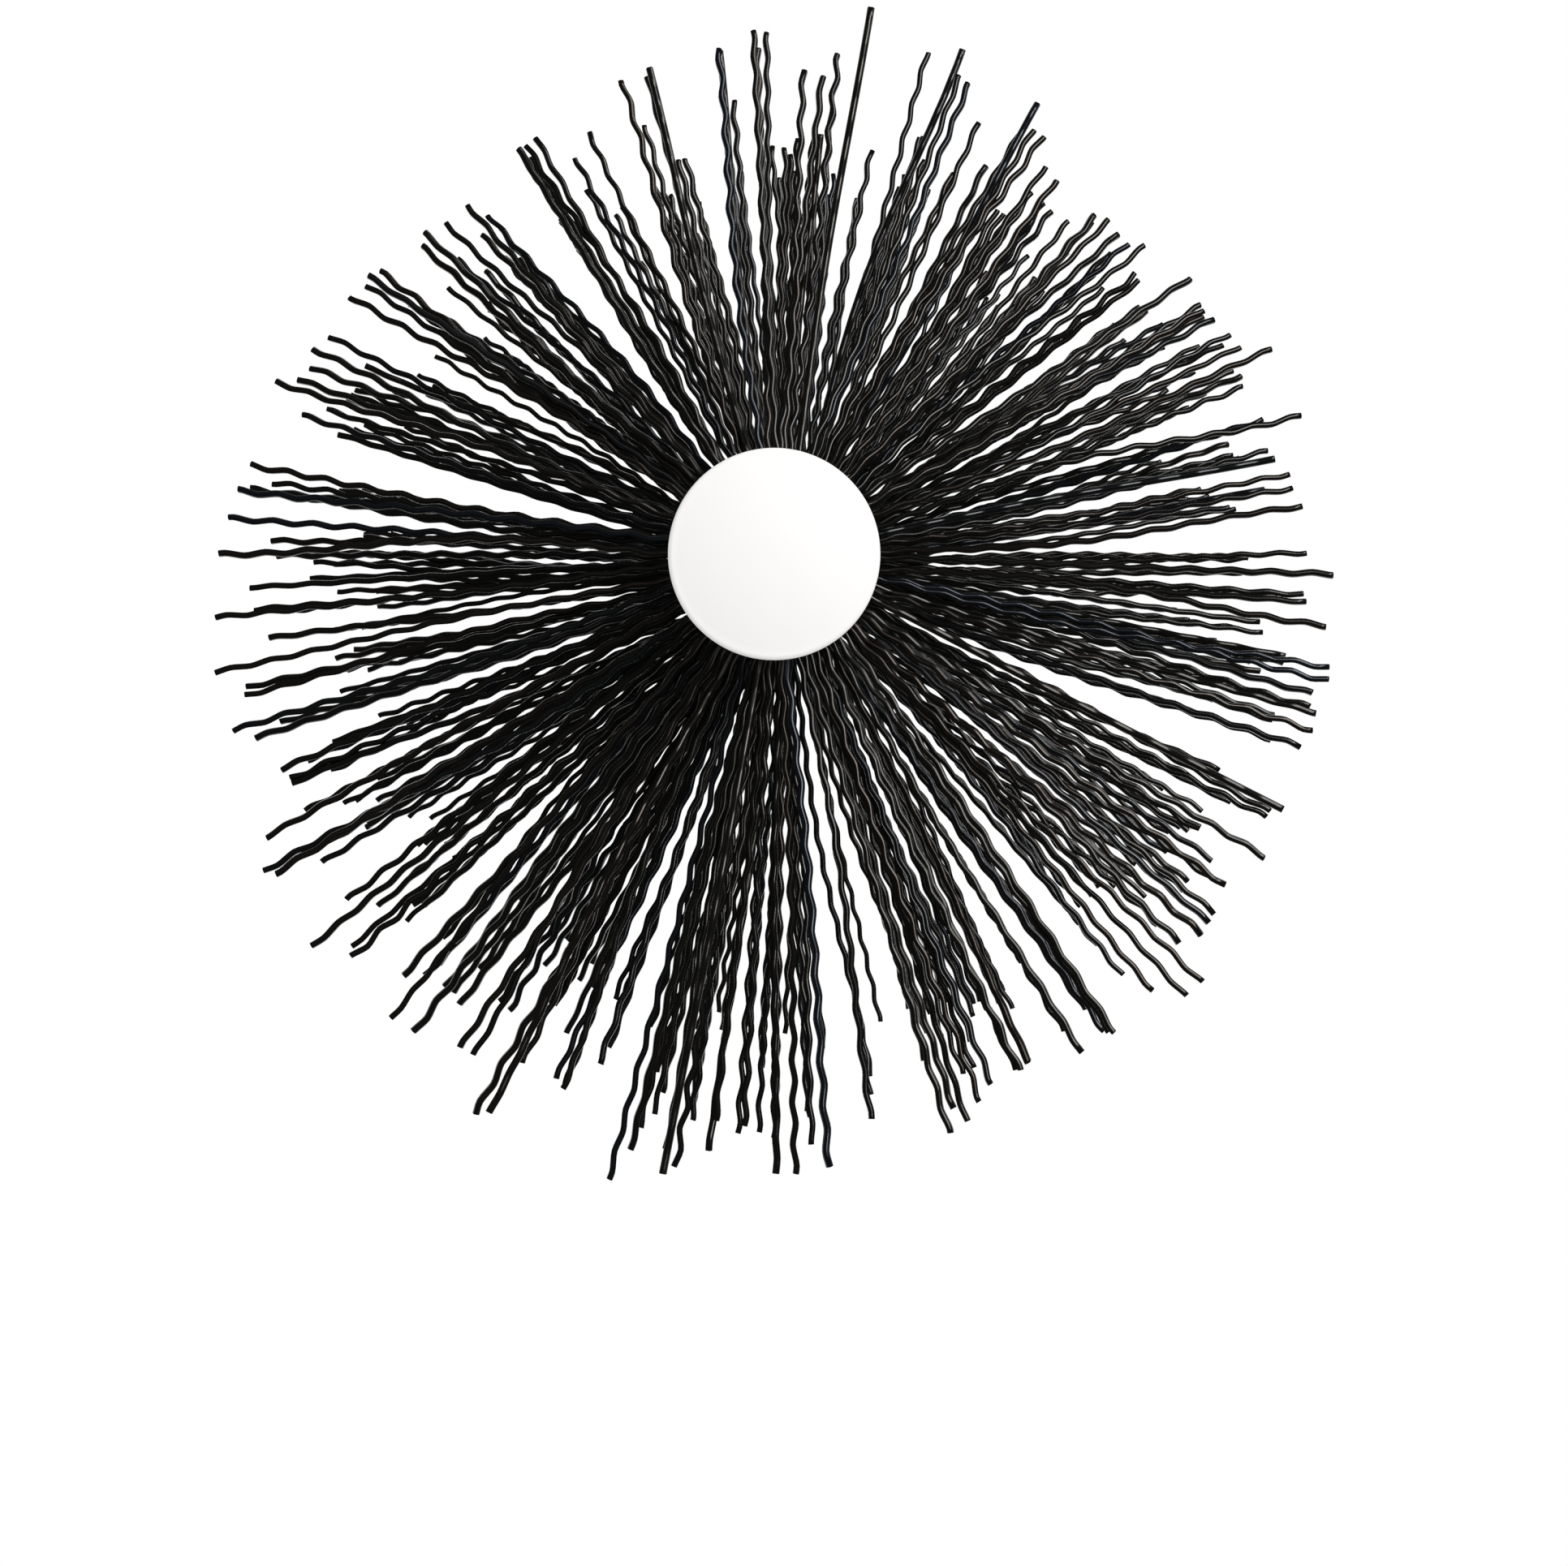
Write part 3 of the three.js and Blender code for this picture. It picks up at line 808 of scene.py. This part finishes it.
def half_path(brush, filament, side, out):
    """Points of one half of a filament at lengths from the axis.

    It is straight between the wires, and then curves in one sweep to its tip.
    """
    angle = twist_at(brush, filament.start) + radians(side)
    middle = filament.start + filament.width / 2
    layer = filament.layer if side == 0 else -filament.layer
    centre = stem_points(middle, angle, 0, layer)
    away = stem_points(0, angle, 1)
    tip = filament.tips[side]
    free = centre + GRIP_REACH * away
    chord = tip_point(tip) - free
    length = np.linalg.norm(chord)
    t = np.maximum((out - GRIP_REACH) / length, 0)[:, None]
    across = stem_points(0, tip.angle, 0, 1)
    bow = tip.bow[0] * across + tip.bow[1] * np.array([0, 1, 0])
    turn = t * np.clip(1 - t, 0, 1) ** TURN_SHARPNESS * (length * away - chord)
    hump = (1 - np.cos(2 * pi * np.clip(t, 0, 1))) / 2 * bow
    curved = free + t * chord + turn + hump
    straight = centre + out[:, None] * away
    return np.where(out[:, None] < GRIP_REACH, straight, curved)


def half_length(brush, filament, side):
    """Length of one half of a filament, from the axis to its tip."""
    free = half_path(brush, filament, side, np.array([GRIP_REACH]))[0]
    return GRIP_REACH + np.linalg.norm(tip_point(filament.tips[side]) - free)


def straight_path(brush, filament, along):
    """Points of a filament without its crimp. Lengths below zero lie on the side of 180 degrees."""
    right = half_path(brush, filament, 0, np.maximum(along, 0))
    left = half_path(brush, filament, 180, np.maximum(-along, 0))
    return np.where(along[:, None] < 0, left, right)


def crimp_wave(turns):
    """Height, from -1 to 1, of the rounded zigzag that the gears press into a filament."""
    wave = np.arcsin(CRIMP_SHARPNESS * np.sin(2 * pi * turns))
    return wave / asin(CRIMP_SHARPNESS)


def thin_axes(brush, filament, along):
    """Directions through the flat section: square to the layer in the stem, then rolled."""
    tangents = directions(lambda at: straight_path(brush, filament, at), along)
    layer_normal = stem_points(0, twist_at(brush, filament.start), 0, 1)
    thin = square_to(np.broadcast_to(layer_normal, tangents.shape), tangents)
    wide = np.cross(tangents, thin)
    roll = np.where(along < 0, filament.tips[180].roll, filament.tips[0].roll)
    roll = (roll * smooth_step(np.abs(along), GRIP_REACH, ROLL_REACH))[:, None]
    return np.cos(roll) * thin + np.sin(roll) * wide


def crimped_path(brush, filament, along):
    """Points of a filament with its crimp."""
    wave = crimp_wave(along / filament.pitch + filament.phase)
    height = filament.height / 2 * smooth_step(np.abs(along), GRIP_REACH, CRIMP_FADE)
    thin = thin_axes(brush, filament, along)
    return straight_path(brush, filament, along) + (wave * height)[:, None] * thin


def bend_stations(filament, start, end):
    """Lengths along a filament that get a ring: some at each bend, and both ends."""
    first = floor((start / filament.pitch + filament.phase) * 2)
    last = ceil((end / filament.pitch + filament.phase) * 2)
    bends = np.arange(first, last + 1) / 2 + 0.25  # a quarter turn on from the middle line
    turns = (bends[:, None] + np.array(BEND_OFFSETS)).ravel()
    lengths = (turns - filament.phase) * filament.pitch
    spare = 2 * SLOPE_STEP
    inside = lengths[(lengths > start + spare) & (lengths < end - spare)]
    return np.concatenate([[start], inside, [end]])


def add_filament(brush, bundle, filament):
    """Adds one filament, from tip to tip through the stem."""
    start = -half_length(brush, filament, 180)
    end = half_length(brush, filament, 0)
    along = bend_stations(filament, start, end)
    centres = crimped_path(brush, filament, along)
    tangents = directions(lambda at: crimped_path(brush, filament, at), along)
    thin = square_to(thin_axes(brush, filament, along), tangents)
    spread = smooth_step(np.abs(along), GRIP_REACH, CRIMP_FADE)
    widths = GRIP_WIDTH + (brush.bristles.filament_width - GRIP_WIDTH) * spread
    depths = GRIP_THICKNESS + (brush.bristles.filament_thickness - GRIP_THICKNESS) * spread
    halves = np.stack([widths, depths], axis=-1)[:, None] / 2
    bundle.add_tube(centres, tangents, thin, np.array(FLAT_SECTION) * halves, along)


# Stem, cap and ferrule


def wire_path(brush, phase, distances):
    """Points on the middle of a wire at distances along the stem."""
    angles = twist_at(brush, distances) + phase
    return stem_points(distances, angles, wire_lay(brush).radius)


def wire_object(brush, name, phase, material):
    """One wire of the stem, with its cut ends square to its own path."""
    radius = brush.stem.wire_diameter / 2
    slant = radius * sin(wire_lay(brush).angle)
    start = sleeve_bore_at(brush) + SEAT_GAP + slant
    end = cap_bore_at(brush) - SEAT_GAP - slant
    turns = (end - start) / brush.stem.twist_length
    bevel = brush.stem.end_bevel
    distances = np.linspace(start + bevel, end - bevel, ceil(turns * WIRE_STEPS_PER_TURN))
    distances = np.concatenate([[start], distances, [end]])
    radii = np.full_like(distances, radius)
    radii[[0, -1]] -= bevel
    centres = wire_path(brush, phase, distances)
    tangents = directions(lambda at: wire_path(brush, phase, at), distances)
    outward = centres * np.array([1, 0, 1])
    angles = np.arange(WIRE_SIDES) * 2 * pi / WIRE_SIDES
    circle = np.stack([np.cos(angles), np.sin(angles)], axis=-1)
    corners = circle[None] * radii[:, None, None]
    bundle = Bundle()
    bundle.add_tube(centres, tangents, square_to(outward, tangents), corners, distances)
    return bundle.mesh_object(name, "wire", material, material)


def arc(centre_radius, centre_at, radius, start, end, steps):
    """(radius, distance) points on an arc, with angles from the radial direction to the nose's."""
    angles = np.linspace(radians(start), radians(end), steps + 1)
    return [(centre_radius + radius * cos(a), centre_at + radius * sin(a)) for a in angles]


def cap_profile(brush):
    """Outline of the cap from the middle of its crown round to the middle of its bore's floor."""
    cap = brush.cap
    face_radius = cap.diameter / 2 - cap.edge_radius
    nose = cap_nose_at(brush)
    crown_sphere = (face_radius**2 + cap.crown**2) / (2 * cap.crown)
    face_angle = asin(face_radius / crown_sphere)
    crown_centre = nose - crown_sphere
    crown = arc(0, crown_centre, crown_sphere, 90, 90 - degrees(face_angle), CROWN_STEPS)
    edge_centre = nose - cap.crown - cap.edge_radius
    edge = arc(face_radius, edge_centre, cap.edge_radius, 90, 0, EDGE_STEPS)
    rear = cap_rear_at(brush)
    bore = wire_lay(brush).bore
    bore_floor = cap_bore_at(brush)
    bevel = cap.rear_bevel
    back = arc(cap.diameter / 2 - bevel, rear + bevel, bevel, 0, -90, EDGE_STEPS)
    mouth = SEAT_GAP
    return [
        (0, crown[0][1]), *crown[1:], *edge[1:], *back,
        (bore + mouth, rear), (bore, rear + mouth), (bore, bore_floor), (0, bore_floor),
    ]


def thread_flank(ferrule):
    """Length along the stem of one thread flank."""
    return ferrule.thread_depth * tan(FLANK_ANGLE)


def thread_radius(ferrule, distances, turn):
    """Radius of the stud at distances along the stem and a share of a turn round it."""
    pitch = ferrule.thread_pitch
    crest = ferrule.thread_diameter / 2
    root = crest - ferrule.thread_depth
    phase = ((distances + ferrule.thread_length) / pitch - turn) % 1
    from_crest = np.minimum(phase, 1 - phase) * pitch - pitch * CREST_HALF
    thread = crest - ferrule.thread_depth * np.clip(from_crest / thread_flank(ferrule), 0, 1)
    lead_in = root - SEAT_GAP + distances + ferrule.thread_length
    run_out = ferrule.relief_diameter / 2 + np.maximum(-ferrule.relief_length - distances, 0)
    return np.minimum(np.minimum(thread, lead_in), run_out)


def add_stud(shell, ferrule):
    """The stud: lead-in, thread, run-out and neck, closed at its end and inside the hexagon."""
    pitch = ferrule.thread_pitch
    tail, inside = -ferrule.thread_length, 2 * SEAT_GAP
    climb = np.linspace(0, thread_flank(ferrule), FLANK_STEPS)
    crest_half = pitch * CREST_HALF
    rows = np.concatenate([crest_half + climb, pitch - crest_half - climb[::-1]])
    turns = np.arange(-1, ceil((inside - tail) / pitch) + 1)
    levels = (tail + turns[:, None] * pitch + rows).ravel()
    columns = []
    for turn in np.linspace(0, 1, THREAD_SEGMENTS + 1):
        distances = np.clip(levels + turn * pitch, tail, inside)
        radii = thread_radius(ferrule, distances, turn)
        columns.append(add_points(shell, distances, 2 * pi * turn, radii))
    for left, right in zip(columns, columns[1:]):
        for row in range(len(levels) - 1):
            shell.faces.new([left[row], right[row], right[row + 1], left[row + 1]])
    for row, distance in ((0, tail), (-1, inside)):
        [middle] = add_middle(shell, distance, 1)
        for left, right in zip(columns, columns[1:]):
            shell.faces.new([middle, left[row], right[row]])


def add_hexagon(shell, ferrule):
    """The hexagon, with corners up and down that are turned off in the usual curves."""
    face = ferrule.hex_across_flats / sqrt(3) - ferrule.hex_bevel
    shoulder, end = 0, ferrule.hex_length
    angles = np.arange(FERRULE_SEGMENTS) * 2 * pi / FERRULE_SEGMENTS
    from_flat = (angles + pi / 6) % (pi / 3) - pi / 6
    radii = ferrule.hex_across_flats / 2 / np.cos(from_flat)
    drops = np.maximum((radii - face) / 2, 0)
    rings = [
        add_middle(shell, end, FERRULE_SEGMENTS),
        add_points(shell, end, angles, np.minimum(radii, face)),
        add_points(shell, end - drops, angles, radii),
        add_points(shell, shoulder + drops, angles, radii),
        add_points(shell, shoulder, angles, np.minimum(radii, face)),
        add_middle(shell, shoulder, FERRULE_SEGMENTS),
    ]
    join_rings(shell, rings)


def sleeve_profile(brush):
    """Outline of the sleeve from the floor of its bore, round its mouth, to inside the hexagon."""
    ferrule = brush.ferrule
    radius = ferrule.sleeve_diameter / 2
    bore = wire_lay(brush).bore
    end = sleeve_end_at(brush)
    bevel = ferrule.sleeve_bevel
    mouth = SEAT_GAP
    bore_floor = sleeve_bore_at(brush)
    profile = [
        (0, bore_floor), (bore, bore_floor), (bore, end - mouth), (bore + mouth, end),
        *arc(radius - bevel, end - bevel, bevel, 90, 0, EDGE_STEPS),
    ]
    for step in (0, 1):
        middle = end - ferrule.crimp_offset - step * ferrule.crimp_spacing
        for share in np.linspace(-1, 1, 2 * CRIMP_STEPS + 1):
            depth = ferrule.crimp_depth * (1 + cos(pi * share)) / 2
            profile.append((radius - depth, middle - share * ferrule.crimp_width / 2))
    hex_end = ferrule.hex_length
    fillet = SEAT_GAP * 2
    profile += arc(radius + fillet, hex_end + fillet, fillet, 180, 270, FILLET_STEPS)
    return [*profile, (radius + fillet, hex_end - fillet), (0, hex_end - fillet)]


class SWEEP_OT_lay_bristles(bpy.types.Operator):
    """Lay the crimped filaments through the stem"""

    bl_idname = "sweep_brush.lay_bristles"
    bl_label = "Lay Bristles"

    def execute(self, context):
        brush = context.scene.sweep_brush
        skin = crimped_nylon(brush.bristles)
        cut = sheared_nylon(brush.bristles)
        filaments = lay_out_filaments(brush)
        for section in range(SECTION_COUNT):
            bundle = Bundle()
            for filament in filaments:
                if filament.section == section:
                    add_filament(brush, bundle, filament)
            name = f"crimped_bristles_{section + 1}"
            piece = bundle.mesh_object(name, "filament", skin, cut)
            seat_piece(piece, f"bristle_section_{section + 1}")
        return {"FINISHED"}


class SWEEP_OT_mould_cap(bpy.types.Operator):
    """Mould the white cap on the nose"""

    bl_idname = "sweep_brush.mould_cap"
    bl_label = "Mould Cap"

    def execute(self, context):
        brush = context.scene.sweep_brush
        shell = bmesh.new()
        add_turned(shell, cap_profile(brush), CAP_SEGMENTS)
        piece = shell_object("moulded_cap", shell, moulded_white_plastic(brush.cap))
        seat_piece(piece, "nose_cap")
        return {"FINISHED"}


class SWEEP_OT_twist_wires(bpy.types.Operator):
    """Twist the four wires of the stem"""

    bl_idname = "sweep_brush.twist_wires"
    bl_label = "Twist Wires"

    def execute(self, context):
        brush = context.scene.sweep_brush
        material = galvanised_wire(brush.stem)
        lay = wire_lay(brush)
        phase = atan2(lay.out, lay.across)
        for number, start in enumerate((phase, pi - phase, pi + phase, -phase), 1):
            piece = wire_object(brush, f"twisted_wire_{number}", start, material)
            seat_piece(piece, f"stem_wire_{number}")
        return {"FINISHED"}


class SWEEP_OT_turn_ferrule(bpy.types.Operator):
    """Turn the threaded ferrule on the tail"""

    bl_idname = "sweep_brush.turn_ferrule"
    bl_label = "Turn Ferrule"

    def execute(self, context):
        brush = context.scene.sweep_brush
        shell = bmesh.new()
        add_turned(shell, sleeve_profile(brush), FERRULE_SEGMENTS)
        add_hexagon(shell, brush.ferrule)
        add_stud(shell, brush.ferrule)
        piece = shell_object("turned_ferrule", shell, turned_zinc_plate(brush.ferrule))
        seat_piece(piece, "threaded_ferrule")
        return {"FINISHED"}


def set_camera():
    """The photograph's camera. Its long side carries the sensor's width."""
    width, height = IMAGE_SIZE
    camera = bpy.data.cameras.new("photograph_camera")
    camera.sensor_width = SENSOR_WIDTH
    camera.lens = SENSOR_WIDTH * FOCAL_PIXELS / width
    camera.shift_x = (width / 2 - PRINCIPAL_PIXEL[0]) / width
    camera.shift_y = (PRINCIPAL_PIXEL[1] - height / 2) / width
    camera.clip_start, camera.clip_end = CAMERA_RANGE
    made = link_object("photograph_camera", camera)
    made.location = CAMERA_PLACE
    made.rotation_euler = (pi / 2, 0, 0)
    bpy.context.scene.camera = made


def set_world(stage):
    """A white world to look at that lights the brush softly from all sides.

    Reflections show the white backdrop behind the brush, and the dim room in front of its nose.
    """
    world = bpy.data.worlds.new("white_backdrop")
    world.use_nodes = True
    tree = world.node_tree
    tree.nodes.clear()
    path = add_node(tree, "LightPath").outputs
    direction = add_node(tree, "TexCoord").outputs["Generated"]
    axes = add_node(tree, "SeparateXYZ", links={"Vector": direction}).outputs
    backdrop = rescale(tree, axes["Y"], stage.room_level, 1, *BACKDROP_FADE, "SMOOTHSTEP")
    links = {"Factor": path["Is Glossy Ray"], "B": backdrop}
    mirrored = add_node(tree, "Mix", None, {"A": stage.world_level}, links)
    links = {0: path["Is Camera Ray"], 1: path["Is Transmission Ray"]}
    through = add_node(tree, "Math", {"operation": "MAXIMUM"}, None, links)
    links = {"Factor": through.outputs["Value"], "A": mirrored.outputs["Result"]}
    level = add_node(tree, "Mix", None, {"B": 1}, links).outputs["Result"]
    white = {"Color": opaque((1, 1, 1))}
    shine = add_node(tree, "Background", None, white, {"Strength": level})
    add_node(tree, "OutputWorld", links={"Surface": shine.outputs["Background"]})
    bpy.context.scene.world = world


def hang_lamps(stage):
    """Large soft lamps round the brush."""
    for name, azimuth, elevation, size, share in LAMPS:
        light = bpy.data.lights.new(name, "SUN")
        light.angle = radians(size)
        light.energy = stage.lamp_level * share * pi
        lamp = link_object(name, light)
        lamp.rotation_euler = (radians(90 - elevation), 0, radians(azimuth))


class SWEEP_OT_set_stage(bpy.types.Operator):
    """Set up the camera, the white world and the lamps"""

    bl_idname = "sweep_brush.set_stage"
    bl_label = "Set Stage"

    def execute(self, context):
        stage = context.scene.sweep_brush.stage
        set_camera()
        set_world(stage)
        hang_lamps(stage)
        context.scene.view_settings.view_transform = "Standard"
        return {"FINISHED"}


class SWEEP_PT_panel(bpy.types.Panel):
    """Settings of the brush, and the steps that build it"""

    bl_label = "Sweep Brush"
    bl_space_type = "VIEW_3D"
    bl_region_type = "UI"
    bl_category = "Sweep Brush"

    def draw(self, context):
        brush = context.scene.sweep_brush
        for part, operator in (
            ("stage", SWEEP_OT_set_stage),
            ("bristles", SWEEP_OT_lay_bristles),
            ("cap", SWEEP_OT_mould_cap),
            ("stem", SWEEP_OT_twist_wires),
            ("ferrule", SWEEP_OT_turn_ferrule),
        ):
            box = self.layout.box()
            box.label(text=part.title())
            group = getattr(brush, part)
            for name in group.bl_rna.properties.keys():
                if name not in ("rna_type", "name"):
                    box.prop(group, name)
            box.operator(operator.bl_idname)


CLASSES = (
    BristleSettings, CapSettings, StemSettings, FerruleSettings, StageSettings, BrushSettings,
    SWEEP_OT_set_stage, SWEEP_OT_lay_bristles, SWEEP_OT_mould_cap,
    SWEEP_OT_twist_wires, SWEEP_OT_turn_ferrule, SWEEP_PT_panel,
)


def register():
    for kind in CLASSES:
        bpy.utils.register_class(kind)
    bpy.types.Scene.sweep_brush = bpy.props.PointerProperty(type=BrushSettings)


def unregister():
    del bpy.types.Scene.sweep_brush
    for kind in reversed(CLASSES):
        bpy.utils.unregister_class(kind)


def main():
    """Builds the stage and the brush."""
    register()
    bpy.ops.sweep_brush.set_stage()
    bpy.ops.sweep_brush.lay_bristles()
    bpy.ops.sweep_brush.mould_cap()
    bpy.ops.sweep_brush.twist_wires()
    bpy.ops.sweep_brush.turn_ferrule()


if __name__ == "__main__":
    main()
